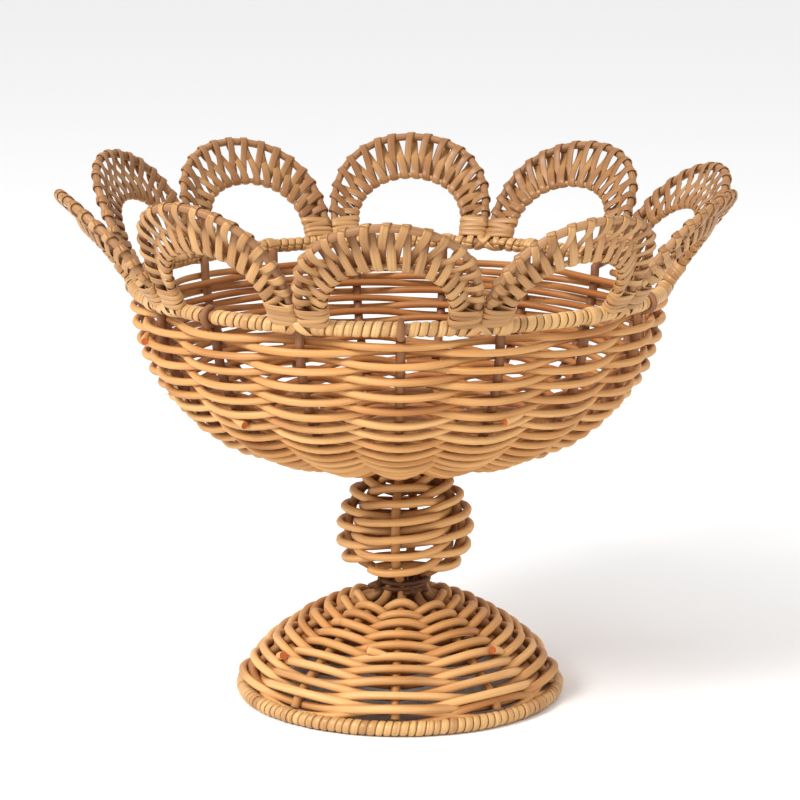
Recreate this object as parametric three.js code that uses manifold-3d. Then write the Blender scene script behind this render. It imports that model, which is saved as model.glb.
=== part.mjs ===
// Footed fruit basket of woven rattan, in millimetres, +Z up.
// The origin is the centre of the foot ring's underside. -Y is the front.
//
// Each woven wall is one closed shell with the outline of its weave. The stakes run inside it, in
// channels that clear them. Rods are tubes along curves, and flat cane wound round a rod is a sleeve.
import * as THREE from 'three';
import { mergeVertices } from 'three/addons/utils/BufferGeometryUtils.js';
import Module from 'manifold-3d';

const wasm = await Module();
wasm.setup();

// Clearances
const gap = 0.3;              // between two pieces that touch
const channelGap = 0.4;       // round a stake in its channel

// Foot: a ring bound with cane, and a woven dome standing on it
const footRingRadius = 75.4;  // centre line of the ring
const footRodRadius = 2.6;
const footCane = 0.8;         // thickness of the binding
const footDomeInset = 4.4;    // from the ring's centre line in to the dome's stake circle
const footDomeRadius = footRingRadius - footDomeInset;
const footDomeRise = 41.2;    // stakes' rise from the ring to the dome's crown
const footDomeOpening = 17;   // stake circle where the stakes leave the dome's top
const footStakes = 9;
const footStakeRadius = 2.1;
const footWeaver = 3.9;       // diameter of the dome's weaver
const footTurn = -1.8;        // degrees from the front to the first stake

// Stem: a woven ball on four stakes, and the neck under it
const stemRadius = 26.4;      // stake circle at the ball's widest
const stemHalfHeight = 27.5;  // of the stakes' whole curve, which both openings cut short
const stemFootOpening = 17;   // stake circle at the ball's open bottom
const stemTopOpening = 10;    // and at its open top
const stemStakes = 4;
const stemStakeRadius = 2.2;
const stemWeaver = 3.8;
const stemTurn = -8.8;
const neckHeight = 5.8;       // between the dome's top and the ball
const neckStakeSpace = 2.2;   // between neighbouring foot stakes in the neck
const neckWrap = 2;           // thickness of the winding round the neck
const neckEase = 0.6;         // between the winding and the weaves above and below it

// Bowl
const bowlRadius = 121;       // stake circle at the rim
const bowlDepth = 75.6;       // stakes' rise from the bottom to the top of the weave
const bowlStakes = 17;
const bowlStakeRadius = 2.2;
const bowlWeaver = 3.5;
const bowlJoin = 3;           // profile point where the rows of the base and of the wall meet
const hubWall = 0.9;          // left between neighbouring stake channels round the hub

// Rim: a hoop bound with cane, carrying ten scalloped loops
const hoopOut = 3.5;          // from the bowl's stake circle out to the hoop
const hoopRadius = bowlRadius + hoopOut;
const hoopRodRadius = 2.5;
const hoopCane = 0.6;
const hoopLift = 1.4;         // from the top of the weave to the underside of the binding
const loops = 10;
const loopTurn = -2.2;
const loopLength = 59.5;      // up the slope, from the hoop to the top of the outer rod
// Degrees outwards from upright. Each loop was bent by hand and leans its own way.
const loopLeans = [34.5, 35.5, 33, 36, 34.5, 34, 33, 26, 35.5, 28.5];
const loopRodRadius = 1.9;
const lacingSide = 11.56;     // width of the laced band beside a loop's opening
const lacingTop = 24;         // and above it
const lacingThickness = 3.6;
const archPower = 0.75;       // below 1 makes an arch fuller at its shoulders

// How full each woven profile is: r = radius cos^p, z = rise sin^q
const footPower = { p: 1.36, q: 1.54 };
const stemPower = { p: 1, q: 1 };
const bowlPower = { p: 0.62, q: 1.06 };

const rattan = { honey: 0xc89a5f, stake: 0x8a6a4a, cane: 0xcfae80, rod: 0xa8845c };

// ---------- geometry helpers ----------

const radians = (degrees) => degrees * Math.PI / 180;

// A straight-sided path whose rings fall exactly on its points.
class PointPath extends THREE.Curve {
  constructor(points) {
    super();
    this.points = points;
  }
  getPoint(t, target = new THREE.Vector3()) {
    const last = this.points.length - 1;
    const i = Math.min(Math.floor(t * last), last - 1);
    return target.lerpVectors(this.points[i], this.points[i + 1], t * last - i);
  }
  getPointAt(t, target) {
    return this.getPoint(t, target);
  }
  getTangentAt(t, target) {
    return this.getTangent(t, target);
  }
}

function tube(points, radius, sides = 6) {
  const section = new THREE.Shape(Array.from({ length: sides }, (_, i) => {
    const angle = 2 * Math.PI * i / sides;
    return new THREE.Vector2(radius * Math.cos(angle), radius * Math.sin(angle));
  }));
  const extrudePath = new PointPath(points);
  return closed(new THREE.ExtrudeGeometry(section, { steps: points.length - 1, extrudePath }));
}

// A closed outline of (radius, height) points, counter-clockwise, turned round +Z.
function turned(outline, segments) {
  const points = [...outline, outline[0]].map(([r, z]) => new THREE.Vector2(r, z));
  return closed(new THREE.LatheGeometry(points, segments).rotateX(Math.PI / 2));
}

function closed(geometry) {
  geometry.deleteAttribute('normal');
  geometry.deleteAttribute('uv');
  return mergeVertices(geometry, 1e-3);
}

function solidOf(geometry) {
  return new wasm.Manifold(new wasm.Mesh({
    numProp: 3,
    vertProperties: new Float32Array(geometry.attributes.position.array),
    triVerts: new Uint32Array(geometry.index.array),
  }));
}

function cut(geometry, tools) {
  let solid = solidOf(geometry);
  for (const tool of tools) solid = solid.subtract(solidOf(tool));
  const mesh = solid.getMesh();
  const result = new THREE.BufferGeometry();
  result.setAttribute('position', new THREE.BufferAttribute(mesh.vertProperties, 3));
  result.setIndex(new THREE.BufferAttribute(mesh.triVerts, 1));
  return result;
}

// Points of a rounded profile, with the outward normal at each.
function profile({ radius, rise, p, q, from, to, count }) {
  const power = (value, exponent) => Math.sign(value) * Math.abs(value) ** exponent;
  const at = (a) => [radius * power(Math.cos(a), p), rise * power(Math.sin(a), q)];
  return Array.from({ length: count }, (_, i) => {
    const a = from + (to - from) * i / (count - 1);
    const [r, z] = at(a);
    const [r1, z1] = at(a + 1e-3);
    const [r0, z0] = at(a - 1e-3);
    const length = Math.hypot(r1 - r0, z1 - z0) * Math.sign(to - from);
    return { r, z, nr: (z1 - z0) / length, nz: (r0 - r1) / length };
  });
}

// The angle at which such a profile comes in to a given radius.
const angleAt = (r, radius, p) => Math.acos((r / radius) ** (1 / p));

const offset = (points, distance) => points.map(({ r, z, nr, nz }) => [r + nr * distance, z + nz * distance]);

// The outline of a wall of even thickness about a profile that runs upwards.
const wall = (points, thickness) => [
  ...offset(points, thickness / 2),
  ...offset(points, -thickness / 2).reverse(),
];

// A profile point moved along its profile.
const slide = (point, by) => ({ ...point, r: point.r - point.nz * by, z: point.z + point.nr * by });

const raise = (points, height) => points.map((point) => ({ ...point, z: point.z + height }));

// A (radius, height) path stood up in the plane at an angle from the front.
const upright = (path, angle) => path.map(([r, z]) => (
  new THREE.Vector3(r * Math.sin(angle), -r * Math.cos(angle), z)));

// The same path, longer at both ends, so that a cut made with it runs clean through.
function overshoot(points, distance) {
  const longer = points.map((point) => point.clone());
  const last = points.length - 1;
  longer[0].addScaledVector(points[0].clone().sub(points[1]).normalize(), distance);
  longer[last].addScaledVector(points[last].clone().sub(points[last - 1]).normalize(), distance);
  return longer;
}

// How far the corners of an eight-sided sleeve stand from its centre line.
const cornerRadius = (radius) => radius / Math.cos(Math.PI / 8);

// A bound rod's sleeve: an eight-sided ring of cane with a flat underside, open along one seam.
function sleeveOutline(centreRadius, centreHeight, inner, outer, seam) {
  const ring = (radius) => Array.from({ length: 8 }, (_, i) => {
    const angle = seam + (i + 0.5) * Math.PI / 4;
    const corner = cornerRadius(radius);
    return [centreRadius + corner * Math.cos(angle), centreHeight + corner * Math.sin(angle)];
  });
  return [...ring(outer), ...ring(inner).reverse()];
}

function mesh(name, geometry, color, roughness = 0.6) {
  const material = new THREE.MeshStandardMaterial({ color, roughness, metalness: 0 });
  const flat = geometry.toNonIndexed();
  flat.computeVertexNormals();
  const result = new THREE.Mesh(flat, material);
  result.name = name;
  return result;
}

const numbered = (name, i) => `${name}_${String(i + 1).padStart(2, '0')}`;

// ---------- heights, each stacked on the piece below ----------

const footWrapRadius = footRodRadius + gap + footCane;
const footBase = 2 * footWrapRadius + gap;
const footThickness = 2 * (footStakeRadius + footWeaver);
const footProfile = raise(profile({
  ...footPower, radius: footDomeRadius, rise: footDomeRise,
  from: 0, to: angleAt(footDomeOpening, footDomeRadius, footPower.p), count: 7,
}), footBase);
const domeTop = Math.max(...wall(footProfile, footThickness).map(([, z]) => z));

const stemThickness = 2 * (stemStakeRadius + stemWeaver);
const stemRaw = profile({
  ...stemPower, radius: stemRadius, rise: stemHalfHeight,
  from: -angleAt(stemFootOpening, stemRadius, stemPower.p),
  to: angleAt(stemTopOpening, stemRadius, stemPower.p), count: 9,
});
const stemHeights = wall(stemRaw, stemThickness).map(([, z]) => z);
const stemCentre = domeTop + neckHeight - Math.min(...stemHeights);
const stemTop = stemCentre + Math.max(...stemHeights);
const stemProfile = raise(stemRaw, stemCentre);

const bowlThickness = 2 * (bowlStakeRadius + bowlWeaver);
const hubChannel = 2 * (bowlStakeRadius + channelGap) + hubWall;
const hubRadius = bowlStakes * hubChannel / (2 * Math.PI) - gap;
const bowlTop = stemTop + gap + bowlThickness / 2 + bowlDepth;
const bowlProfile = raise(profile({
  ...bowlPower, radius: bowlRadius, rise: -bowlDepth,
  from: angleAt(hubRadius + gap, bowlRadius, bowlPower.p), to: 0, count: 8,
}), bowlTop);
const bowlBottom = Math.min(...wall(bowlProfile, bowlThickness).map(([, z]) => z));

const hoopWrapRadius = hoopRodRadius + gap + hoopCane;
const hoopHeight = bowlTop + hoopLift + hoopWrapRadius;

// ---------- sub-parts ----------

// Stakes of one woven wall, its shells with their channels cut, as named meshes in one group.
function wovenWall({ name, shells, segments, path, stakes, stakeRadius }) {
  const group = new THREE.Group();
  const paths = Array.from({ length: stakes }, (_, i) => (
    upright(path, 2 * Math.PI * i / stakes)));
  const channels = paths.map((points) => tube(overshoot(points, 3), stakeRadius + channelGap));
  for (const [shell, outline] of Object.entries(shells)) {
    group.add(mesh(shell, cut(turned(outline, segments), channels), rattan.honey));
  }
  paths.forEach((points, i) => {
    group.add(mesh(numbered(`${name}_stake`, i), tube(points, stakeRadius), rattan.stake));
  });
  return group;
}

// A bent rod and the sleeve of flat cane wound round it.
function boundRing({ rodName, sleeveName, radius, height, rodRadius, cane, seam, segments }) {
  const rod = Array.from({ length: 6 }, (_, i) => {
    const angle = Math.PI * (i + 0.5) / 3;
    return [radius + rodRadius * Math.cos(angle), height + rodRadius * Math.sin(angle)];
  });
  const sleeve = sleeveOutline(radius, height, rodRadius + gap, rodRadius + gap + cane, seam);
  return [
    mesh(rodName, turned(rod, segments), rattan.rod),
    mesh(sleeveName, turned(sleeve, segments), rattan.cane, 0.5),
  ];
}

// The foot: its bound ring, its dome, and the winding round the stakes where they leave the dome.
const neckRadius = footStakes * (2 * footStakeRadius + neckStakeSpace) / (2 * Math.PI);
const neckLow = domeTop + neckEase;
const neckHigh = domeTop + neckHeight - neckEase;

function foot() {
  const path = [
    [footRingRadius - footStakeRadius, footBase],
    ...offset(footProfile.slice(1), 0),
    [neckRadius + footStakeRadius, domeTop - footStakeRadius],
    [neckRadius, domeTop],
    [neckRadius, neckHigh],
  ];
  const segments = 3 * footStakes;
  const group = wovenWall({
    name: 'foot', shells: { foot_weave: wall(footProfile, footThickness) }, segments, path,
    stakes: footStakes, stakeRadius: footStakeRadius,
  });
  group.add(...boundRing({
    rodName: 'foot_ring', sleeveName: 'foot_binding', radius: footRingRadius,
    height: footWrapRadius, rodRadius: footRodRadius, cane: footCane, seam: Math.PI * 0.75, segments,
  }));
  const inner = neckRadius + footStakeRadius + gap;
  const outer = inner + neckWrap;
  const winding = [[inner, neckLow], [outer, neckLow], [outer, neckHigh], [inner, neckHigh]];
  group.add(mesh('neck_winding', turned(winding, segments), rattan.honey));
  group.rotation.z = radians(footTurn);
  return group;
}

// The stem: a woven ball whose four stakes come down together inside the neck.
function stem() {
  const footRadius = neckRadius - footStakeRadius - gap - stemStakeRadius;
  const [low, ...rest] = offset(stemProfile, 0);
  const top = rest.at(-1);
  const path = [
    [footRadius, neckLow - 1],
    [footRadius, neckHigh + stemStakeRadius],
    [(footRadius + low[0]) / 2, (neckHigh + stemStakeRadius + 1 + low[1]) / 2],
    low,
    ...rest,
    [top[0] - 1, bowlBottom - gap - 1.2],
    [top[0] - 1, bowlBottom - gap],
  ];
  const group = wovenWall({
    name: 'stem', shells: { stem_weave: wall(stemProfile, stemThickness) },
    segments: 4 * stemStakes, path, stakes: stemStakes, stakeRadius: stemStakeRadius,
  });
  group.rotation.z = radians(stemTurn);
  return group;
}

// The bowl: its woven centre, the base round that, its wall, and the stakes that run up to the hoop.
function bowl() {
  const join = bowlProfile[bowlJoin];
  const base = [...bowlProfile.slice(0, bowlJoin), slide(join, -gap / 2)];
  const side = [slide(join, gap / 2), ...bowlProfile.slice(bowlJoin + 1)];
  const path = [...offset(bowlProfile, 0), [bowlRadius, hoopHeight - hoopWrapRadius - gap]];
  const group = wovenWall({
    name: 'bowl',
    shells: { bowl_base_weave: wall(base, bowlThickness), bowl_weave: wall(side, bowlThickness) },
    segments: 2 * bowlStakes, path, stakes: bowlStakes, stakeRadius: bowlStakeRadius,
  });
  const hub = [
    [0, bowlBottom], [hubRadius, bowlBottom],
    [hubRadius, bowlBottom + bowlThickness], [0, bowlBottom + bowlThickness],
  ];
  group.add(mesh('bowl_hub', turned(hub, bowlStakes), rattan.honey));
  return group;
}

// A point of a loop, which leans out as part of a cone: across is an angle along the hoop, and up is a
// length up the slope.
function onCone(angle, lean, across, up, out = 0) {
  const radius = hoopRadius + up * Math.sin(lean) + out * Math.cos(lean);
  const height = hoopHeight + up * Math.cos(lean) - out * Math.sin(lean);
  const turn = angle + across;
  return new THREE.Vector3(radius * Math.sin(turn), -radius * Math.cos(turn), height);
}

// A point of an arch that starts on the binding at t = 0 and comes back to it at t = 1.
function arch(halfWidth, length, t) {
  const start = Math.asin(((cornerRadius(hoopWrapRadius) + gap) / length) ** (1 / archPower));
  const s = start + (Math.PI - 2 * start) * t;
  return { across: halfWidth * Math.cos(s) / hoopRadius, up: length * Math.sin(s) ** archPower };
}

// One loop: its outer rod, and the lacing of cane that fills the band between it and the opening.
function loop(i) {
  const angle = 2 * Math.PI * i / loops + radians(loopTurn);
  const lean = radians(loopLeans[i % loopLeans.length]);
  const steps = 12;
  const halfWidth = hoopRadius * Math.PI / loops - loopRodRadius - gap / 2;
  const rod = Array.from({ length: steps + 1 }, (_, k) => {
    const { across, up } = arch(halfWidth, loopLength, k / steps);
    return onCone(angle, lean, across, up);
  });
  const margin = loopRodRadius + gap;
  const openingHalfWidth = halfWidth - lacingSide;
  const openingLength = loopLength - lacingTop;
  const band = new THREE.BoxGeometry(1, 1, 1, steps, 1, 1);
  const position = band.attributes.position;
  for (let k = 0; k < position.count; k += 1) {
    const t = 0.5 - position.getX(k);
    const inner = arch(openingHalfWidth, openingLength, t);
    const outer = arch(halfWidth - margin, loopLength - margin, t);
    const mix = position.getY(k) + 0.5;
    const point = onCone(
      angle, lean,
      THREE.MathUtils.lerp(inner.across, outer.across, mix),
      THREE.MathUtils.lerp(inner.up, outer.up, mix),
      position.getZ(k) * lacingThickness,
    );
    position.setXYZ(k, ...point.toArray());
  }
  return [
    mesh(numbered('loop_rod', i), tube(rod, loopRodRadius), rattan.rod),
    mesh(numbered('loop_lacing', i), closed(band), rattan.cane, 0.5),
  ];
}

function rim() {
  const group = new THREE.Group();
  group.add(...boundRing({
    rodName: 'rim_hoop', sleeveName: 'rim_binding', radius: hoopRadius, height: hoopHeight,
    rodRadius: hoopRodRadius, cane: hoopCane, seam: Math.PI, segments: 2 * bowlStakes,
  }));
  for (let i = 0; i < loops; i += 1) group.add(...loop(i));
  return group;
}

const basket = new THREE.Group();
basket.name = 'fruit_basket';
basket.add(foot(), stem(), bowl(), rim());
export default basket;
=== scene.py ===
"""Footed fruit basket of woven rattan: the visible weave, rods and cane round the CAD frame."""

import math

import bpy
import numpy as np
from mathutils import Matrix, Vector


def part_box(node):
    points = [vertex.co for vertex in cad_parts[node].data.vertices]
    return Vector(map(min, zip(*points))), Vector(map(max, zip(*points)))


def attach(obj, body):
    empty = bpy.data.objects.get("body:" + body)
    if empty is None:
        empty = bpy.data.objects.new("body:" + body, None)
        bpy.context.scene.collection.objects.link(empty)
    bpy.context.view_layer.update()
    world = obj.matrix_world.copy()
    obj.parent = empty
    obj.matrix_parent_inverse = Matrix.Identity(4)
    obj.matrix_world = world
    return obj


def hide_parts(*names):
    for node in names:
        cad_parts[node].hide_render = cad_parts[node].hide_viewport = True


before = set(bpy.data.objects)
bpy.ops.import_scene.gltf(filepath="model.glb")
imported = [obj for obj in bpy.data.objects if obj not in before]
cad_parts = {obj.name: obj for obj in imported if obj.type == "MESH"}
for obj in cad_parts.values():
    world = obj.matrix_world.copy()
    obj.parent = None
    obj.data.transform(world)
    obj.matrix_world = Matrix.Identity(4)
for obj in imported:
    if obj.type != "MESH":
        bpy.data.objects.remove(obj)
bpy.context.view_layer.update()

MM = 0.001
TAU = 2 * math.pi
UP = np.array([0, 0, 1.0])

# Counts and radii, as in the CAD model
BOWL_STAKES, STEM_STAKES, FOOT_STAKES, LOOPS = 17, 4, 9, 10
BOWL_STAKE, STEM_STAKE, FOOT_STAKE = 2.2 * MM, 2.2 * MM, 2.1 * MM
BOWL_WEAVER, STEM_WEAVER, FOOT_WEAVER = 1.75 * MM, 1.9 * MM, 1.95 * MM
HOOP_ROD, FOOT_ROD, OUTER_ROD = 2.5 * MM, 2.6 * MM, 1.9 * MM
FLAT_SHARE = math.cos(math.pi / 6)   # how far out the flats of a six-sided CAD rod are, per radius

# Strands that aren't CAD nodes of their own
INNER_ROD = 1.4 * MM                 # radius of a loop's inner rod
CANE_THICKNESS = 0.7 * MM
STRAY_RADIUS = 0.14 * MM


# ---------- meshes swept along paths ----------

GRAIN_SPREAD = 9      # metres of grain that the strands start in, each at its own place
OUTER_SIDE = 0.35     # how much less painted shade a strand's outer side gets than its middle, as if less deep in the weave


def unit(v):
    return v / np.maximum(np.linalg.norm(v, axis=-1, keepdims=True), 1e-12)


def ring_section(radius, sides):
    a = TAU * np.arange(sides) / sides
    return np.stack([np.cos(a), np.sin(a)], 1) * radius


def strip_section(width, thickness):
    """A flat strip with a domed face and rounded edges: (out of its face, across it)."""
    w, t = width / 2, thickness / 2
    half = [(-t * 0.4, w), (t * 0.5, w * 0.88), (t * 1.15, w * 0.55)]
    top = half + [(t * 1.35, 0)] + [(o, -a) for o, a in reversed(half)]
    return np.array(top + [(-t, -w * 0.6), (-t, w * 0.6)])


class Strands:
    """Collects swept strands into one mesh. The attribute rod is each point's place in its own
    straightened strand, in metres, tone is the strand's own shade from 0 to 1, and painted_shade is
    how deep in the weave a point lies, which the material paints darker and redder as painted
    shade."""

    def __init__(self, name, seed):
        self.name, self.random = name, np.random.default_rng(seed)
        self.verts, self.faces, self.rod, self.tone, self.painted_shade = [], [], [], [], []
        self.count = 0

    def sweep(self, path, hint, section, scale=None, tone=None, loop=False, shade_depth=None):
        """path: points along the strand. hint: the way its section's first axis points. scale:
        the section's size at each point. tone: its shade, or a random one. loop: whether its
        ends meet. shade_depth: how deep in the weave each point of the path lies, from 0 to 1,
        which is painted as shade."""
        n, m = len(path), len(section)
        if loop:
            tangent = unit(np.roll(path, -1, 0) - np.roll(path, 1, 0))
        else:
            tangent = unit(np.gradient(path, axis=0))
        out = unit(hint - (hint * tangent).sum(1, keepdims=True) * tangent)
        across = np.cross(tangent, out)
        size = np.ones(n) if scale is None else np.asarray(scale)
        local = section[None] * size[:, None, None]
        points = path[:, None] + local[..., :1] * out[:, None] + local[..., 1:] * across[:, None]
        step = np.linalg.norm(np.diff(path, axis=0), axis=1)
        along = np.concatenate([[0], np.cumsum(step)])
        start = self.random.uniform(0, GRAIN_SPREAD, 3)
        rod = np.empty((n, m, 3))
        rod[..., :2] = local + start[:2]
        rod[..., 2] = along[:, None] + start[2]
        i, j = np.meshgrid(np.arange(n if loop else n - 1), np.arange(m), indexing="ij")
        k, j1 = (i + 1) % n, (j + 1) % m
        quads = np.stack([i * m + j, i * m + j1, k * m + j1, k * m + j], -1).reshape(-1, 4)
        self.faces += (quads + self.count).tolist()
        if not loop:
            first = self.count + np.arange(m)
            self.faces += [first[::-1].tolist(), (first + (n - 1) * m).tolist()]
        self.verts.append(points.reshape(-1, 3))
        self.rod.append(rod.reshape(-1, 3))
        shade = self.random.uniform() if tone is None else tone
        self.tone.append(np.full(n * m, shade))
        # Painted shade: deeper points, and each strand's inward side, are painted darker and redder
        inner = np.zeros((n, m))
        if shade_depth is not None:
            inner = shade_depth[:, None] - OUTER_SIDE * section[None, :, 0] / np.abs(section).max()
        self.painted_shade.append(np.clip(inner, 0, 1).ravel())
        self.count += n * m

    def piece(self, material, slot, *nodes):
        """Makes the mesh, which stands for the CAD nodes named. Its flat cut ends stay flat."""
        mesh = bpy.data.meshes.new(self.name)
        mesh.from_pydata(np.concatenate(self.verts).tolist(), [], self.faces)
        mesh.attributes.new("rod", "FLOAT_VECTOR", "POINT").data.foreach_set(
            "vector", np.concatenate(self.rod).astype(np.float32).ravel())
        for key, values in (("tone", self.tone), ("painted_shade", self.painted_shade)):
            mesh.attributes.new(key, "FLOAT", "POINT").data.foreach_set(
                "value", np.concatenate(values).astype(np.float32))
        mesh.polygons.foreach_set("use_smooth", [len(face) == 4 for face in self.faces])
        mesh.materials.append(material)
        mesh.update()
        made = bpy.data.objects.new(self.name, mesh)
        bpy.context.scene.collection.objects.link(made)
        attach(made, "root")
        if nodes:
            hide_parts(*nodes)


def facing(way, count):
    """The same direction for each of a number of points."""
    return np.tile(way, (count, 1))


def wobble(x, random, speed, size):
    """A smooth random curve over x: four sines, the fastest at speed radians per unit of x."""
    total = np.zeros_like(x)
    for k in range(1, 5):
        total += np.sin(x * speed * k / 4 + random.uniform(0, TAU)) / 2
    return total * size


# ---------- profiles ----------

PROFILE_POINTS = 600
SWELL_POWER = 0.33    # below 1 moves the top of a wall's swell towards its lower end

# How full each woven profile is, as in the CAD model: r = radius cos^p, z = rise sin^q
BOWL_P, BOWL_Q = 0.62, 1.06
STEM_P, STEM_Q = 1, 1
FOOT_P, FOOT_Q = 1.36, 1.54


class Wall:
    """The curve that one wall's stakes follow, by length s from its lower end (all in metres)."""

    def __init__(self, radius, rise, p, q, start, end, base, drop=None, bulge=0.0):
        """radius: at the widest place, which is at the height base. start and end: the angles
        that the curve runs between. drop: its height below its widest place, where that isn't
        its rise. bulge: how far it swells out near its lower end."""
        def power(v, exponent):
            return np.sign(v) * np.abs(v) ** exponent

        a = np.linspace(start, end, PROFILE_POINTS)
        swell = np.sin(math.pi * np.linspace(0, 1, PROFILE_POINTS) ** SWELL_POWER)
        self.r = radius * power(np.cos(a), p) + bulge * swell
        self.z = base + np.where(a < 0, rise if drop is None else drop, rise) * power(np.sin(a), q)
        d = unit(np.stack([np.gradient(self.r), np.gradient(self.z)], 1))
        self.nr, self.nz = d[:, 1], -d[:, 0]
        step = np.hypot(np.diff(self.r), np.diff(self.z))
        self.s = np.concatenate([[0], np.cumsum(step)])
        self.length = self.s[-1]

    def at(self, s):
        """Radius, height, and the outward direction's two parts, at a length up the wall."""
        return [np.interp(s, self.s, v) for v in (self.r, self.z, self.nr, self.nz)]


def around(r, theta, z):
    """Points at a radius, an angle from the front and a height."""
    return np.stack([r * np.sin(theta), -r * np.cos(theta), z + 0 * theta], -1)


def angle_at(r, radius, p):
    """The angle at which a profile has a radius."""
    return math.acos((r / radius) ** (1 / p))


def low(node):
    """A CAD node's lowest corner."""
    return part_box(node)[0]


def high(node):
    """A CAD node's highest corner."""
    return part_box(node)[1]


# Rim hoop and foot ring
HOOP_Z = (low("rim_hoop").z + high("rim_hoop").z) / 2
HOOP_R = (high("rim_hoop").y - low("rim_hoop").y) / 2 - HOOP_ROD * FLAT_SHARE
RING_Z = (low("foot_ring").z + high("foot_ring").z) / 2
RING_R = high("foot_ring").x - FOOT_ROD * FLAT_SHARE

# Bowl
bowl_half = BOWL_STAKE + 2 * BOWL_WEAVER      # half the wall's thickness
BOWL_R = -low("bowl_weave").y - bowl_half
HUB_R = -low("bowl_hub").y
BOWL_TOP = high("bowl_weave").z
BOWL_RISE = BOWL_TOP - low("bowl_base_weave").z - bowl_half
BOWL_SHIFT = 0.6 * MM                         # how far its rows stand to the left
bowl_wall = Wall(BOWL_R, -BOWL_RISE, BOWL_P, BOWL_Q, angle_at(HUB_R, BOWL_R, BOWL_P), 0, BOWL_TOP)

# Stem: the ball is slightly wider and lower than its CAD node
STEM_R, STEM_RISE, STEM_DROP = 27.3 * MM, 30 * MM, 24 * MM
STEM_BOTTOM_R, STEM_TOP_R = 20.5 * MM, 10 * MM
STEM_TOP = high("stem_weave").z
STEM_MID = STEM_TOP - 34.2 * MM               # height of its widest place
STEM_SHIFT = 2.4 * MM                         # how far it stands to the right
stem_wall = Wall(STEM_R, STEM_RISE, STEM_P, STEM_Q, -angle_at(STEM_BOTTOM_R, STEM_R, STEM_P),
                 angle_at(STEM_TOP_R, STEM_R, STEM_P), STEM_MID, drop=STEM_DROP)

# Foot and neck
foot_half = FOOT_STAKE + 2 * FOOT_WEAVER      # half the wall's thickness
FOOT_R = -low("foot_weave").y - foot_half
FOOT_BASE = low("foot_weave").z + 0.3 * MM
FOOT_RISE = 41.2 * MM
FOOT_TOP_R = 17 * MM
DOME_TOP = high("foot_weave").z
NECK_R = 9.17 * MM                            # circle of the stakes in the neck
foot_wall = Wall(FOOT_R, FOOT_RISE, FOOT_P, FOOT_Q, 0, angle_at(FOOT_TOP_R, FOOT_R, FOOT_P),
                 FOOT_BASE, bulge=2.3 * MM)

# Angles from the front to the first stake or loop
FOOT_TURN, STEM_TURN, LOOP_TURN = math.radians(-1.8), math.radians(-8.8), math.radians(-2.2)
JUNCTION_TURN = LOOP_TURN + math.pi / LOOPS   # to the first place where two loops meet

# Loops: degrees outwards, which at the two sides is 1.5 more than in the CAD model
LOOP_LEANS = [34.5, 35.5, 34.5, 36, 34.5, 34, 33, 26, 37, 28.5]
LOOP_LENGTH = 59.5 * MM
SHORT_LOOPS, SHORTER = (2, 8), 1 * MM         # the two at the sides, and how much shorter
OPENING_HALF, OPENING_LENGTH = 25.5 * MM, 35.5 * MM
ARCH_POWER = 0.75
JUNCTION = 9.5 * MM            # half the length of hoop that two neighbouring loops' feet take up


# ---------- materials ----------

# Cycles of noise in a metre, across a strand and along it
STREAKS, FINE_LINES, BLOTCHES = (1500, 22), (4200, 60), (60, 16)
BUMP_STRENGTH, BUMP_HEIGHT = 0.35, 0.25 * MM


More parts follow.
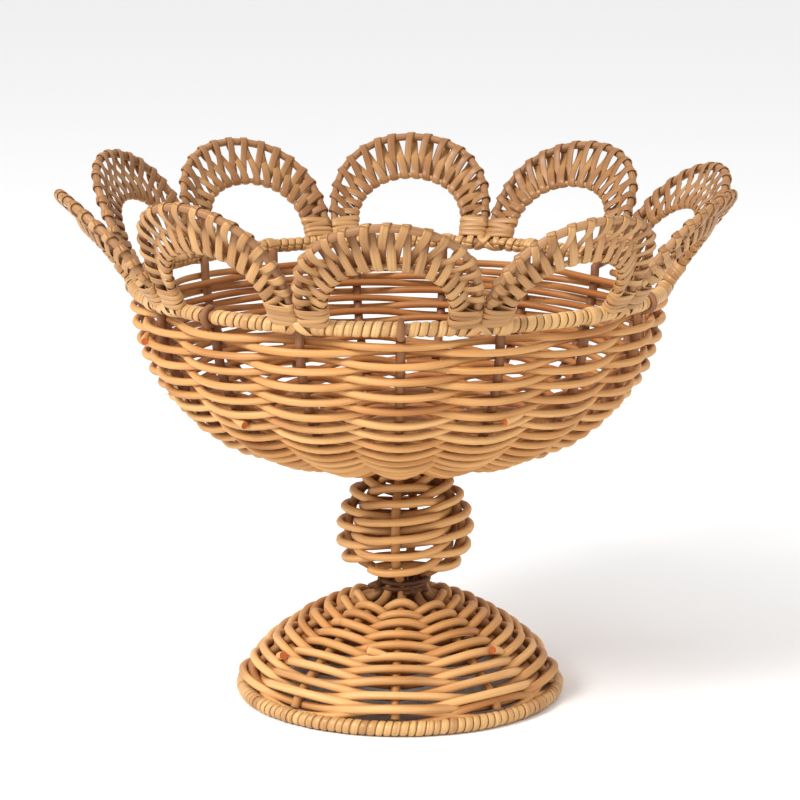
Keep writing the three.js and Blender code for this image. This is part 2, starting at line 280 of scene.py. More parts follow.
def rattan(name, light, dark, stain_and_shade, rough=(0.42, 0.62), grain=1.0, gloss=0.35):
    """Rattan with grain along each strand, its own tone per strand, darker blotches of stain,
    and painted shade deep in the weave, in the same stain colour."""
    material = bpy.data.materials.new(name)
    material.use_nodes = True
    nodes, links = material.node_tree.nodes, material.node_tree.links
    shader = nodes["Principled BSDF"]
    shader.inputs["Specular IOR Level"].default_value = gloss

    def node(kind, **settings):
        made = nodes.new(kind)
        for key, value in settings.items():
            setattr(made, key, value)
        return made

    rod = node("ShaderNodeAttribute", attribute_name="rod")
    tone = node("ShaderNodeAttribute", attribute_name="tone")
    painted_shade = node("ShaderNodeAttribute", attribute_name="painted_shade")

    def noise(cycles, detail):
        across, along = cycles
        place = node("ShaderNodeMapping")
        place.inputs["Scale"].default_value = (across, across, along)
        links.new(rod.outputs["Vector"], place.inputs["Vector"])
        made = node("ShaderNodeTexNoise")
        made.inputs["Scale"].default_value = 1.0
        made.inputs["Detail"].default_value = detail
        links.new(place.outputs["Vector"], made.inputs["Vector"])
        return made.outputs["Fac"]

    def ramp(value, low_in, low_out, high_in, high_out):
        made = node("ShaderNodeMapRange")
        for socket, number in zip(made.inputs[1:5], (low_in, high_in, low_out, high_out)):
            socket.default_value = number
        links.new(value, made.inputs["Value"])
        return made.outputs["Result"]

    def mix(factor, a, b):
        made = node("ShaderNodeMix", data_type="RGBA")
        links.new(factor, made.inputs["Factor"])
        for socket, value in ((made.inputs["A"], a), (made.inputs["B"], b)):
            if isinstance(value, tuple):
                socket.default_value = (*value, 1)
            else:
                links.new(value, socket)
        return made.outputs["Result"]

    streaks, fine = noise(STREAKS, 3.0), noise(FINE_LINES, 2.0)
    blotches = noise(BLOTCHES, 2.0)
    # Half of a strand's shade is its tone, and half is its streaks
    shade = node("ShaderNodeMath", operation="MULTIPLY_ADD")
    links.new(tone.outputs["Fac"], shade.inputs[0])
    shade.inputs[1].default_value = 0.5
    links.new(ramp(streaks, 0.3, 0.0, 0.7, 0.5), shade.inputs[2])
    base = mix(shade.outputs[0], dark, light)
    stained = mix(ramp(blotches, 0.5, 0.0, 0.78, 0.8), base, stain_and_shade)
    lined = mix(ramp(fine, 0.56, 0.0, 0.78, 0.5), stained, tuple(0.5 * c for c in dark))
    # Painted shade: the stain colour is mixed in where a point lies deep in the weave
    with_painted_shade = mix(ramp(painted_shade.outputs["Fac"], 0.2, 0.0, 1.0, 0.75), lined, stain_and_shade)
    links.new(with_painted_shade, shader.inputs["Base Color"])
    links.new(ramp(streaks, 0.3, rough[0], 0.7, rough[1]), shader.inputs["Roughness"])
    bump = node("ShaderNodeBump")
    bump.inputs["Strength"].default_value = BUMP_STRENGTH * grain
    bump.inputs["Distance"].default_value = BUMP_HEIGHT
    links.new(streaks, bump.inputs["Height"])
    links.new(bump.outputs["Normal"], shader.inputs["Normal"])
    return material


# Each material's third colour is both the stain of its blotches and its painted shade deep in the
# weave
honey = rattan("honey_core", (0.76, 0.475, 0.212), (0.52, 0.24, 0.070), (0.32, 0.105, 0.022))
stake = rattan("stake_core", (0.34, 0.165, 0.075), (0.215, 0.09, 0.037), (0.13, 0.048, 0.02))
foot_stake = rattan("foot_stake_core", (0.52, 0.27, 0.10), (0.32, 0.135, 0.042),
                    (0.18, 0.065, 0.022))
dark_stake = rattan("neck_core", (0.20, 0.085, 0.03), (0.11, 0.044, 0.017), (0.06, 0.024, 0.011))
rod_wood = rattan("loop_rod_core", (0.50, 0.285, 0.135), (0.29, 0.14, 0.06), (0.16, 0.068, 0.028))
cane = rattan("flat_cane", (0.72, 0.465, 0.20), (0.43, 0.215, 0.078), (0.29, 0.12, 0.038),
              rough=(0.28, 0.48), grain=0.9, gloss=0.5)
loop_cane = rattan("loop_cane", (0.61, 0.365, 0.155), (0.33, 0.155, 0.054), (0.24, 0.095, 0.034),
                   rough=(0.3, 0.5), gloss=0.45)
cut_end = rattan("cut_end_core", (0.55, 0.16, 0.03), (0.38, 0.09, 0.018), (0.25, 0.05, 0.012))


# ---------- woven walls ----------

WEAVER_SIDES = 8
WAVE_POWER = 0.86              # below 1 makes a weaver round each stake more snugly
# How uneven hand weaving is: the wobble's speed round the wall, and its size
ROW_DRIFT, ROW_JITTER = (2.3, 0.16), (9.1, 0.08)      # of a row's height, per weaver radius
REACH_CHANGE, SIZE_CHANGE = (7.7, 0.06), (3.1, 0.045)   # shares of its reach and thickness
TUCK = 2.1                     # how far in a weaver's end goes, per weaver radius

# From a row to the next one up, at the wall's lower end and at its top
BOWL_PITCH, FOOT_PITCH = (3.35 * MM, 3.85 * MM), (3.4 * MM, 3.65 * MM)
STEM_PITCH = 3.75 * MM         # the same all the way up
BOWL_START, STEM_START, FOOT_START = 6 * MM, 4.6 * MM, -2.6 * MM   # length up the wall

CUT_LENGTH = 10 * MM           # of a short weaver end
CUT_FACE = np.array([[-0.1], [0.3]]) * MM     # where its cut face's cap starts and ends

HUB_ROD, HUB_WEAVER = 2.0 * MM, 1.5 * MM      # radii


def outward(nr, nz, theta):
    """Directions out of a wall at angles from the front."""
    return np.stack([nr * np.sin(theta), -nr * np.cos(theta), nz + 0 * theta], -1)


def weave(strands, wall, stakes, amplitude, radius, s0, s1, pitch, phase=0.0, turn=0.0,
          tilt=0.0, steps=8, rows_per_strand=2.6, shape=None, first=0.0):
    """Weavers spiral up a wall from s0 to s1, over one stake and under the next. pitch is the
    rise of a turn at either end, first is the angle that the spiral starts at, tilt slopes the
    rows from side to side, and shape moves the finished paths. Each weaver is a few rows long
    and starts and stops behind a stake, tucked in beside the next."""
    random = strands.random
    grid = np.linspace(s0, s1, 800)
    rise = np.interp(grid, (s0, s1), pitch)
    turned = np.concatenate([[0], np.cumsum(np.diff(grid) / rise[:-1])]) * TAU
    total = int(turned[-1] / TAU * stakes * steps)
    turned += first
    theta = first + np.arange(total) * TAU / (stakes * steps)
    s = np.maximum(np.interp(theta, turned, grid), 0.6 * radius)
    for speed, share in (ROW_DRIFT, ROW_JITTER):
        s = s + wobble(theta, random, speed, share * radius)
    r, z, nr, nz = wall.at(s)
    wave = np.cos(stakes / 2 * theta + phase)
    reach = np.minimum(amplitude, 0.3 * TAU * r / stakes)
    reach = reach * (1 + wobble(theta, random, *REACH_CHANGE))
    d = np.sign(wave) * np.abs(wave) ** WAVE_POWER * reach
    angle = theta + turn
    hint = outward(nr, nz, angle)
    path = around(r + nr * d, angle, z + nz * d + tilt * np.sin(angle) * r)
    if shape is not None:
        path = shape(path)
    size = 1 + wobble(theta, random, *SIZE_CHANGE)
    # Painted shade: a weaver is painted darker and redder where it passes behind a stake
    shade_depth = 0.5 - 0.5 * d / reach
    section = ring_section(radius, WEAVER_SIDES)
    begin, lap = 0, steps // 2
    while begin < total - 2:
        end = begin + int(rows_per_strand * random.uniform(0.6, 1.4) * stakes * steps)
        if end > total - stakes * steps:
            end = total
        else:
            near = np.arange(end - steps, end + steps)
            end = near[np.argmin(wave[near])] + lap
        piece = path[begin:end].copy()
        if end < total:
            tuck = np.linspace(0, 1, 2 * lap) ** 1.5 * TUCK * radius
            piece[-2 * lap:] -= hint[end - 2 * lap:end] * tuck[:, None]
        strands.sweep(piece, hint[begin:end], section, size[begin:end], shade_depth=shade_depth[begin:end])
        begin = end - lap if end < total else total


def cut_ends(strands, faces, wall, radius, places, shape):
    """Short weaver ends that stand out of a wall, each with a fresh cut across it. A place is
    an angle from the front in degrees, a length up the wall, and the way the end points."""
    for angle, s, way in places:
        r, z, nr, nz = (float(v) for v in wall.at(s))
        t = np.linspace(0, 1, 8)
        theta = math.radians(angle) + way * (1 - t) * CUT_LENGTH / r
        d = radius * (0.6 + 2.7 * t ** 0.7)
        hint = outward(nr, nz, theta)
        path = shape(around(r + nr * d, theta, z + nz * d))
        strands.sweep(path, hint, ring_section(radius, 10), tone=0.8)
        cap = path[-1] + unit(path[-1] - path[-2]) * CUT_FACE
        faces.sweep(cap, hint[-2:], ring_section(0.97 * radius, 10))


def strays(strands, wall, count, shape):
    """Thin loose fibres that stand out of a wall."""
    random = strands.random
    points = 6
    for _ in range(count):
        theta, s = random.uniform(0, TAU), random.uniform(0.1, 0.95) * wall.length
        r, z, nr, nz = (float(v) for v in wall.at(s))
        out = outward(nr, nz, theta)
        t = np.linspace(0, 1, points)[:, None]
        way = unit(random.normal(0, 1, 3) + out * 0.6)
        bend = random.normal(0, 0.25, 3)
        start = around(r, np.array(theta), z) + out * random.uniform(3.5, 5) * MM
        line = start + random.uniform(4, 11) * MM * (t * way + t ** 2 * bend)
        strands.sweep(shape(line), facing(out, points), ring_section(STRAY_RADIUS, 4),
                      np.linspace(1, 0.4, points), tone=1)


def stakes_of(prefix, node, count, radius, path_of, turn, material, sides=10, shape=None):
    """One piece for each stake of a wall. path_of gives its radii, heights and sizes."""
    for i in range(count):
        strands = Strands(f"{prefix}_{i + 1:02d}", 100 + i)
        r, z, size = path_of(i)
        theta = np.full_like(r, TAU * i / count + turn)
        bend = wobble(z / (30 * MM), strands.random, 1.0, 0.35 * MM)
        theta = theta + bend / np.maximum(r, 9 * MM)
        path = around(r, theta, z)
        if shape is not None:
            path = shape(path)
        side = np.stack([np.cos(theta), np.sin(theta), 0 * theta], 1)
        strands.sweep(path, side, ring_section(radius, sides), size)
        strands.piece(material, "stake", f"{node}_{i + 1:02d}")


def leftward(path):
    """The bowl's rows stand a little further out on the left, as they were woven by hand."""
    return path + np.array([-BOWL_SHIFT, 0, 0])


def off_centre(path):
    """The stem stands a little to the right of the foot and the bowl, as it was bent by hand."""
    z = path[:, 2]
    share = np.interp(z, (DOME_TOP - 25 * MM, DOME_TOP, STEM_MID, STEM_TOP), (0, 0.6, 1, 0.75))
    moved = path.copy()
    moved[:, 0] += share * STEM_SHIFT
    return moved


def over_hoop(i):
    """Whether a bowl stake bends over the hoop. The others end behind it."""
    return i % 3 == 0


def bowl():
    weavers = Strands("bowl_weavers", 11)
    weave(weavers, bowl_wall, BOWL_STAKES, BOWL_STAKE + BOWL_WEAVER, BOWL_WEAVER,
          BOWL_START, bowl_wall.length - BOWL_WEAVER, BOWL_PITCH, shape=leftward)
    strays(weavers, bowl_wall, 10, leftward)
    faces = Strands("bowl_cut_faces", 13)
    top = bowl_wall.length
    cut_ends(weavers, faces, bowl_wall, BOWL_WEAVER, [
        (-68, top - 14 * MM, -1), (-38, top - 45 * MM, -1), (24, top - 39 * MM, 1),
        (118, top - 22 * MM, 1), (-150, top - 52 * MM, 1)], leftward)
    faces.piece(cut_end, "weaver")
    weavers.piece(honey, "weaver", "bowl_weave", "bowl_base_weave")

    def stake_path(i):
        r, z, _, _ = bowl_wall.at(np.linspace(0, bowl_wall.length, 40))
        size = np.clip(0.55 + 0.45 * r / (45 * MM), 0.6, 1)
        if over_hoop(i):
            # Up the hoop's front and over its top
            a = np.radians([-50, -25, 0, 30, 60, 90, 115])
            reach = HOOP_ROD + 1.5 * MM
            r = np.concatenate([r, [BOWL_R + 0.8 * MM], HOOP_R + reach * np.cos(a)])
            z = np.concatenate([z, [BOWL_TOP + 0.6 * MM], HOOP_Z + reach * np.sin(a)])
            return r, z, np.concatenate([size, [0.95], np.linspace(0.85, 0.55, len(a))])
        rise = np.linspace(0.15, 1, 7)
        r = np.concatenate([r, BOWL_R + rise ** 2 * 1.2 * MM])
        z = np.concatenate([z, BOWL_TOP + rise * (HOOP_Z - BOWL_TOP - 0.6 * MM)])
        return r, z, np.concatenate([size, np.ones_like(rise)])

    stakes_of("bowl_upright", "bowl_stake", BOWL_STAKES, BOWL_STAKE, stake_path, 0, stake)


def bowl_centre():
    """Two layers of four crossed rods, with a weaver wound round them above and below."""
    hub = Strands("bowl_centre", 12)
    _, mid, _, _ = bowl_wall.at(0)
    across = np.linspace(-1, 1, 9)
    for layer in (-1, 1):
        for k in range(4):
            shift = (k - 1.5) * 4.3 * MM
            reach = math.sqrt((HUB_R - 0.5 * MM) ** 2 - shift ** 2)
            height = mid + layer * HUB_ROD
            line = np.stack([across * reach, 0 * across + shift, 0 * across + height], 1)
            if layer > 0:
                line = line[:, [1, 0, 2]]
            hub.sweep(line, facing(UP, len(line)), ring_section(HUB_ROD, 8), tone=0.1)
    for side in (-1, 1):
        theta = np.linspace(0, 2.6 * TAU, 240)
        r = 10.5 * MM + theta / TAU * 3.1 * MM
        z = mid + side * 3.6 * MM * np.cos(4 * theta + (side > 0) * math.pi) ** 2
        hub.sweep(around(r, theta, z), facing(UP, len(theta)), ring_section(HUB_WEAVER, 8))
    hub.piece(honey, "weaver", "bowl_hub")


def stem():
    """The ball has two weavers at a time. One goes over the stakes that the other goes under."""
    weavers = Strands("stem_weavers", 21)
    for k in (0, 1):
        weave(weavers, stem_wall, STEM_STAKES, STEM_STAKE + STEM_WEAVER, 1.04 * STEM_WEAVER,
              STEM_START - k * STEM_PITCH, stem_wall.length - 0.5 * MM,
              (2 * STEM_PITCH, 2 * STEM_PITCH), phase=k * math.pi, turn=STEM_TURN, tilt=0.05,
              steps=20, rows_per_strand=3, shape=off_centre, first=-0.55)
    strays(weavers, stem_wall, 5, off_centre)
    weavers.piece(honey, "weaver", "stem_weave")
    foot_r = NECK_R - FOOT_STAKE - STEM_STAKE - 0.3 * MM     # inside the neck's stakes
    t = np.linspace(0, 1, 11)[:-1]

    def bend(a, b, c):
        return (1 - t) ** 2 * a + 2 * t * (1 - t) * b + t ** 2 * c

    def stake_path(_):
        r, z, _, _ = stem_wall.at(np.linspace(0, stem_wall.length, 36))
        r = np.concatenate([bend(foot_r, foot_r + 1 * MM, r[0]), r, [r[-1] - 1 * MM]])
        z = np.concatenate([bend(DOME_TOP - 1 * MM, DOME_TOP + 5 * MM, z[0]), z,
                            [low("bowl_hub").z - 0.5 * MM]])
        return r, z, np.ones_like(r)

    stakes_of("stem_upright", "stem_stake", STEM_STAKES, STEM_STAKE, stake_path, STEM_TURN,
              foot_stake, sides=12, shape=off_centre)


def foot():
    weavers = Strands("foot_weavers", 31)
    weave(weavers, foot_wall, FOOT_STAKES, FOOT_STAKE + 0.9 * FOOT_WEAVER, 1.07 * FOOT_WEAVER,
          FOOT_START, foot_wall.length - 0.5 * MM, FOOT_PITCH, turn=FOOT_TURN, steps=14,
          shape=off_centre)
    strays(weavers, foot_wall, 10, off_centre)
    faces = Strands("foot_cut_faces", 33)
    cut_ends(weavers, faces, foot_wall, FOOT_WEAVER, [
        (-58, 20 * MM, -1), (-17, 33 * MM, 1), (47, 27 * MM, 1), (165, 22 * MM, -1)], off_centre)
    faces.piece(cut_end, "weaver")
    weavers.piece(honey, "weaver", "foot_weave")

    def stake_path(_):
        r, z, _, _ = foot_wall.at(np.linspace(0, foot_wall.length, 30))
        t = np.linspace(0, 1, 9)[1:]
        up_r = NECK_R + (r[-1] - NECK_R) * (1 - t) ** 2
        up_z = z[-1] + (DOME_TOP + 4.5 * MM - z[-1]) * t ** 1.4
        r = np.concatenate([[RING_R - FOOT_STAKE], r[1:], up_r])
        z = np.concatenate([[FOOT_BASE - 0.5 * MM], z[1:], up_z])
        return r, z, np.ones_like(r)

    stakes_of("foot_upright", "foot_stake", FOOT_STAKES, FOOT_STAKE, stake_path, FOOT_TURN,
              foot_stake, shape=off_centre)


def neck():
    """A short winding round the neck, and the dark cut ends that splay over the dome."""
    strands = Strands("neck_winding_strands", 32)
    random = strands.random
    theta = np.linspace(0, 3.3 * TAU, 160)
    r = NECK_R + FOOT_STAKE + wobble(theta, random, 1.7, 0.7 * MM)
    z = DOME_TOP + 0.6 * MM + theta / TAU * 1.6 * MM + wobble(theta, random, 1.3, 0.7 * MM)
    strands.sweep(off_centre(around(r, theta, z)), around(r, theta, 0 * z),
                  ring_section(1.2 * MM, 8))
    t = np.linspace(0, 1, 7)
    for k in range(FOOT_STAKES):
        theta = TAU * (k + random.uniform(-0.35, 0.35)) / FOOT_STAKES
        theta = theta + random.uniform(-0.5, 0.5) * t
        reach, drop = random.uniform(3, 10) * MM, random.uniform(3, 8) * MM
        line = around(NECK_R - 2 * MM + t * reach, theta, DOME_TOP + 5.2 * MM - t ** 1.4 * drop)
        strands.sweep(off_centre(line), facing(UP, len(t)), ring_section(2.0 * MM, 8),
                      np.linspace(1, 0.75, len(t)))
    strands.piece(dark_stake, "stake", "neck_winding")


# ---------- rods bound with cane ----------

HOOP_TURN, RING_TURN = 4.0 * MM, 3.7 * MM     # length of rod that one turn of cane covers
RING_LIFT = 0.62 * MM          # from the floor to the middle of the ring's cane
STEPS_IN_TURN = 14
USUAL_TONE, TONE_KEPT = 0.6, 0.7              # a turn of cane is shaded partly like the last one
STRAP_WIDTH = 5.6 * MM         # of the straps at the bowl's stakes
# Straps where two loops meet: place, in spacings from the middle, and slant in mm
JUNCTION_STRAPS = ((-2, 0.6), (2, -0.4), (0.2, -3.4), (-0.5, 3.6))
JUNCTION_SPACING = 3.7 * MM


def rod_ring(name, seed, radius, height, rod_radius, points, node):
    """A rod bent into a closed ring."""
    strands = Strands(name, seed)
    theta = np.linspace(0, TAU, points, endpoint=False)
    path = around(np.full(points, radius), theta, height)
    strands.sweep(path, facing(UP, points), ring_section(rod_radius, 10), loop=True)
    strands.piece(rod_wood, "rod", node)


def turn_of_cane(strands, radius, theta, height, reach, alpha, width, tone):
    """One turn of flat cane round a ring, at an angle theta and a reach from its centre line."""
    flat = np.stack([np.sin(theta), -np.cos(theta), 0 * theta], 1)
    out = np.cos(alpha)[:, None] * flat + np.sin(alpha)[:, None] * UP
    path = around(np.full_like(theta, radius), theta, height) + out * np.reshape(reach, (-1, 1))
    strands.sweep(path, out, strip_section(width, CANE_THICKNESS), tone=tone)


def bind_ring(strands, radius, height, wrap, pitch, bare=lambda theta: False):
    """Flat cane wound round a ring, turn beside turn. bare says where the rod shows instead."""
    random = strands.random
    turns = int(TAU * radius / pitch)
    edge = np.linspace(0, TAU, turns + 1)
    edge[1:-1] += random.normal(0, 0.07 * pitch / radius, turns - 1)
    tone = USUAL_TONE
    for k in range(turns):
        if bare((edge[k] + edge[k + 1]) / 2):
            continue
        tone = USUAL_TONE + TONE_KEPT * (tone - USUAL_TONE) + random.normal(0, 0.17)
        tone = np.clip(tone, 0.05, 1)
        alpha = np.linspace(-math.pi, math.pi, STEPS_IN_TURN + 1)
        theta = np.linspace(edge[k], edge[k + 1], STEPS_IN_TURN + 1)
        width = (edge[k + 1] - edge[k]) * radius * random.uniform(0.86, 0.95)
        reach = np.full_like(alpha, wrap + random.uniform(-0.12, 0.18) * MM)
        turn_of_cane(strands, radius, theta, height, reach, alpha, width, tone)


def foot_ring():
    rod_ring("foot_ring_rod", 41, RING_R, RING_Z, FOOT_ROD + 0.3 * MM, 120, "foot_ring")
    binding = Strands("foot_ring_cane", 42)
    bind_ring(binding, RING_R, RING_Z, RING_Z - RING_LIFT, RING_TURN)
    binding.piece(cane, "cane", "foot_binding")


def nearest(theta, count, turn=0.0):
    """Distance along the hoop to the nearest of a number of evenly spaced places."""
    return abs(((theta - turn) / TAU * count + 0.5) % 1 - 0.5) * TAU / count * HOOP_R


def at_junction(theta):
    """Whether a place on the hoop is under the feet of two neighbouring loops."""
    return nearest(theta, LOOPS, JUNCTION_TURN) < JUNCTION


def bare_hoop(theta):
    """Where the hoop has no turns of cane: under the loops' feet and at stakes that cross it."""
    nearest_stake = round(theta / TAU * BOWL_STAKES)
    at_stake = over_hoop(nearest_stake) and nearest(theta, BOWL_STAKES) < 2.3 * MM
    return at_junction(theta) or at_stake


def rim_hoop():
    rod_ring("rim_hoop_rod", 51, HOOP_R, HOOP_Z, HOOP_ROD + 0.2 * MM, 200, "rim_hoop")
    binding = Strands("rim_hoop_cane", 52)
    random = binding.random
    bind_ring(binding, HOOP_R, HOOP_Z, HOOP_ROD + 0.55 * MM, HOOP_TURN, bare_hoop)
    alpha = np.linspace(-math.pi, math.pi, 21)
    for i in range(BOWL_STAKES):
        theta = TAU * i / BOWL_STAKES
        if over_hoop(i) or at_junction(theta):
            continue
        slant = random.uniform(-1.5, 1.5) * MM / HOOP_R
        reach = HOOP_ROD + 1.2 * MM + 0.5 * MM * np.clip(np.cos(alpha), 0, 1)
        turn_of_cane(binding, HOOP_R, theta + slant * np.sin(alpha), HOOP_Z, reach, alpha,
                     STRAP_WIDTH, random.uniform(0.3, 1))
    for i in range(LOOPS):
        theta = JUNCTION_TURN + TAU * i / LOOPS
        for k, slant in JUNCTION_STRAPS:
            slant, shift = (slant + random.uniform(-0.5, 0.5)) * MM, k * JUNCTION_SPACING
            layer = HOOP_ROD + (0.6 + 0.11 * abs(slant) / MM + random.uniform(0, 0.25)) * MM
            reach = layer + 0.3 * MM * np.cos(alpha - 0.8)
            turn_of_cane(binding, HOOP_R, theta + (shift + slant * np.sin(alpha)) / HOOP_R, HOOP_Z,
                         reach, alpha, random.uniform(3.1, 3.9) * MM, random.uniform(0.1, 0.9))
    binding.piece(cane, "cane", "rim_binding")


# ---------- loops ----------

LACE_TURNS, STEPS_IN_LACE = 18, 26
LACE_WIDTH = 4.0 * MM
LACE_CROWDING = 0.09           # how much closer the lace's turns are at a loop's feet
LACE_START = (10.5 * MM, 9 * MM)              # height up a loop, on its outer and its inner rod
# The cane that binds a loop's foot: its turns, the height up the loop where they start, and
# the height from each to the next
FEET_TURNS, FEET_START, FEET_STEP = 4, 3.2 * MM, 2.55 * MM


class Loop:
    """One scallop, which leans out as part of a cone."""

    def __init__(self, i):
        self.angle = TAU * i / LOOPS + LOOP_TURN
        self.lean = math.radians(LOOP_LEANS[i])
        self.half = HOOP_R * math.pi / LOOPS - OUTER_ROD - 0.15 * MM
        self.length = LOOP_LENGTH - (SHORTER if i in SHORT_LOOPS else 0)

    def point(self, across, up):
        """A point on the cone, by length across at the hoop and length up the slope."""
        return around(HOOP_R + up * math.sin(self.lean), self.angle + across / HOOP_R,
                      HOOP_Z + up * math.cos(self.lean))

    def normal(self, across):
        """The way out of the loop's face."""
        turn = self.angle + across / HOOP_R
        flat = np.stack([np.sin(turn), -np.cos(turn), 0 * turn], -1)
        return flat * math.cos(self.lean) - UP * math.sin(self.lean)

    def outer(self, t):
        """Lengths across and up the outer rod, for t from 0 at one foot to 1 at the other."""
        return arch(self.half, self.length, t)

    def inner(self, t):
        return arch(OPENING_HALF + 2.1 * MM, OPENING_LENGTH + 1.9 * MM, t)


def arch(half, length, t):
    """Lengths across and up an arch of a half width and a length."""
    return half * np.cos(math.pi * t), length * np.sin(math.pi * t) ** ARCH_POWER


def even(loop, curve, begin=0.0, count=400):
    """Values of t that step evenly along an arch, between the places at a height up it."""
    t = np.linspace(0, 1, 1200)
    t = t[curve(t)[1] >= begin - 1e-9]
    path = loop.point(*curve(t))
    s = np.concatenate([[0], np.cumsum(np.linalg.norm(np.diff(path, axis=0), axis=1))])
    return np.interp(np.linspace(0, s[-1], count), s, t)


def between(loop, at_outer, at_inner):
    """The middle between matching points of the two rods, the way across, half the distance
    between their centre lines, and the way out of the loop's face."""
    outer, inner = loop.point(*at_outer), loop.point(*at_inner)
    half = np.linalg.norm(outer - inner, axis=1) / 2
    normal = loop.normal((at_outer[0] + at_inner[0]) / 2)
    return (outer + inner) / 2, unit(outer - inner), half, normal


def lace(loop, strands):
    """Flat cane in figures of eight round the two rods of a loop, from one foot to the other."""
    random = strands.random
    tau = np.linspace(0, LACE_TURNS * TAU, LACE_TURNS * STEPS_IN_LACE)
    share = tau / tau[-1]
    share = share - LACE_CROWDING * np.sin(TAU * share) / TAU
    place = share + wobble(tau, random, 0.8, 0.0035)
    at = np.linspace(0, 1, 400)
    at_outer = loop.outer(np.interp(place, at, even(loop, loop.outer, LACE_START[0])))
    at_inner = loop.inner(np.interp(place, at, even(loop, loop.inner, LACE_START[1])))
    mid, way, half, normal = between(loop, at_outer, at_inner)
    snug = np.where(np.cos(tau) > 0, OUTER_ROD, INNER_ROD) + CANE_THICKNESS * 0.5
    w = (half + snug) * np.cos(tau)
    n = 1.15 * snug * np.sin(2 * tau)
    path = mid + w[:, None] * way + n[:, None] * normal
    hint = -np.gradient(n)[:, None] * way + np.gradient(w)[:, None] * normal
    size = (1 + wobble(tau, random, 1.1, 0.08)) * np.where(np.cos(tau) > 0, 0.94, 1)
    section = strip_section(LACE_WIDTH, CANE_THICKNESS * 0.9)
    for first in range(0, len(tau) - 1, STEPS_IN_LACE):
        turn = slice(first, min(first + STEPS_IN_LACE + 1, len(tau)))
        # Painted shade: each turn is painted darker on the loop's inner face and lighter on its
        # outer one
        strands.sweep(path[turn], hint[turn], section, size[turn],
                      tone=random.uniform(0.15, 1), shade_depth=0.45 - 0.4 * np.sin(2 * tau[turn]))


def bind_foot(loop, strands, side):
    """Cane wound round both rods of a loop together, from the hoop to where the lacing begins."""
    random = strands.random
    t = np.linspace(0, 0.5, 400)
    outer, inner = loop.outer(t), loop.inner(t)
    alpha = np.linspace(0, TAU, 29)
    for k in range(FEET_TURNS):
        slope = random.uniform(-1.3, 1.3) * MM
        up = FEET_START + k * FEET_STEP + slope * np.cos(alpha) + 1.2 * MM * alpha / TAU
        at_outer = np.interp(up, outer[1], outer[0]) * side, up
        at_inner = np.interp(up, inner[1], inner[0]) * side, up
        mid, way, half, normal = between(loop, at_outer, at_inner)
        snug = OUTER_ROD + CANE_THICKNESS * random.uniform(0.45, 0.8)
        w = half * np.tanh(2.2 * np.cos(alpha)) + snug * np.cos(alpha)
        n = snug * np.sin(alpha) * (1 + 0.25 * np.sin(alpha) ** 2)
        path = mid + w[:, None] * way + n[:, None] * normal
        out = np.cos(alpha)[:, None] * way + np.sin(alpha)[:, None] * normal
        strands.sweep(path, out, strip_section(random.uniform(2.5, 3.3) * MM, CANE_THICKNESS),
                      tone=random.uniform(0.1, 0.95))


def loop_rod(loop, strands, curve, radius, points, sides):
    across, up = curve(even(loop, curve, count=points))
    strands.sweep(loop.point(across, up), loop.normal(across), ring_section(radius, sides))


def loops():
    for i in range(LOOPS):
        loop = Loop(i)
        rod = Strands(f"loop_outer_{i + 1:02d}", 200 + i)
        loop_rod(loop, rod, loop.outer, OUTER_ROD, 60, 10)
        rod.piece(rod_wood, "rod", f"loop_rod_{i + 1:02d}")
        laced = Strands(f"loop_lace_{i + 1:02d}", 300 + i)
        loop_rod(loop, laced, loop.inner, INNER_ROD, 50, 8)
        lace(loop, laced)
        for side in (-1, 1):
            bind_foot(loop, laced, side)
        laced.piece(loop_cane, "cane", f"loop_lacing_{i + 1:02d}")


# ---------- stage ----------

FLOOR_HALF = 6.0               # metres, as are the places below
FLOOR_GREY, FLOOR_ROUGHNESS = 0.92, 0.9
SKY_STRENGTH = 0.87
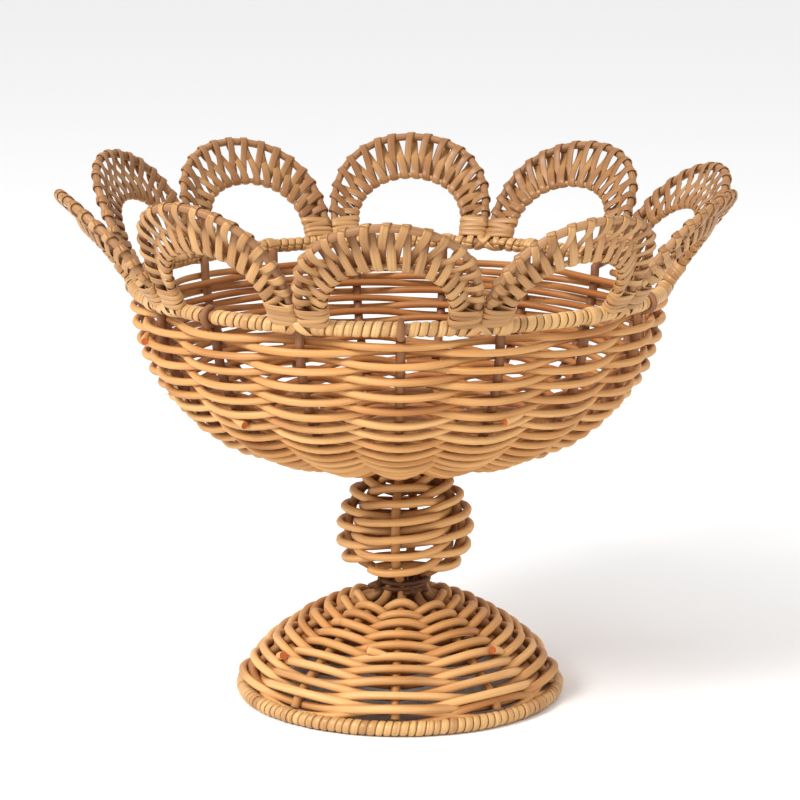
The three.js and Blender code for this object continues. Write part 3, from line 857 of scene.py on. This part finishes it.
# Name, place, power in watts, and width in metres
LIGHTS = (("key", (-1.2, -1.1, 1.5), 37, 0.8), ("fill", (1.4, -1.3, 0.8), 4, 1.2))
LIGHTS_AIM = (0, 0, 0.14)
CAMERA_PLACE, CAMERA_DOWN = (0, -1.4, 0.436), 11.85       # degrees below level
CAMERA_LENS, CAMERA_SENSOR = 135.6, 36        # mm
EXPOSURE, GAMMA = 0.1, 0.9


def studio():
    """A pale floor, a white surrounding, soft lights, and the camera in front of the basket."""
    scene = bpy.context.scene
    mesh = bpy.data.meshes.new("floor")
    corners = [(x * FLOOR_HALF, y * FLOOR_HALF, 0) for x, y in ((-1, -1), (1, -1), (1, 1), (-1, 1))]
    mesh.from_pydata(corners, [], [(0, 1, 2, 3)])
    floor = bpy.data.objects.new("floor", mesh)
    scene.collection.objects.link(floor)
    paint = bpy.data.materials.new("floor_white")
    paint.use_nodes = True
    shader = paint.node_tree.nodes["Principled BSDF"]
    shader.inputs["Base Color"].default_value = (FLOOR_GREY, FLOOR_GREY, FLOOR_GREY, 1)
    shader.inputs["Roughness"].default_value = FLOOR_ROUGHNESS
    mesh.materials.append(paint)

    world = bpy.data.worlds.new("studio")
    world.use_nodes = True
    sky = world.node_tree.nodes["Background"]
    sky.inputs["Color"].default_value = (1, 1, 1, 1)
    sky.inputs["Strength"].default_value = SKY_STRENGTH
    scene.world = world
    for name, place, power, width in LIGHTS:
        light = bpy.data.lights.new(name, "AREA")
        light.energy, light.size = power, width
        lamp = bpy.data.objects.new(name, light)
        lamp.location = place
        aim = bpy.data.objects.new(f"{name}_aim", None)
        aim.location = LIGHTS_AIM
        track = lamp.constraints.new("TRACK_TO")
        track.target = aim
        for each in (lamp, aim):
            scene.collection.objects.link(each)

    camera = bpy.data.cameras.new("camera")
    camera.lens, camera.sensor_width = CAMERA_LENS, CAMERA_SENSOR
    eye = bpy.data.objects.new("camera", camera)
    eye.location = CAMERA_PLACE
    eye.rotation_euler = (math.radians(90 - CAMERA_DOWN), 0, 0)
    scene.collection.objects.link(eye)
    scene.camera = eye
    scene.view_settings.view_transform = "Standard"
    scene.view_settings.exposure, scene.view_settings.gamma = EXPOSURE, GAMMA


bowl()
bowl_centre()
stem()
foot()
neck()
foot_ring()
rim_hoop()
loops()
studio()
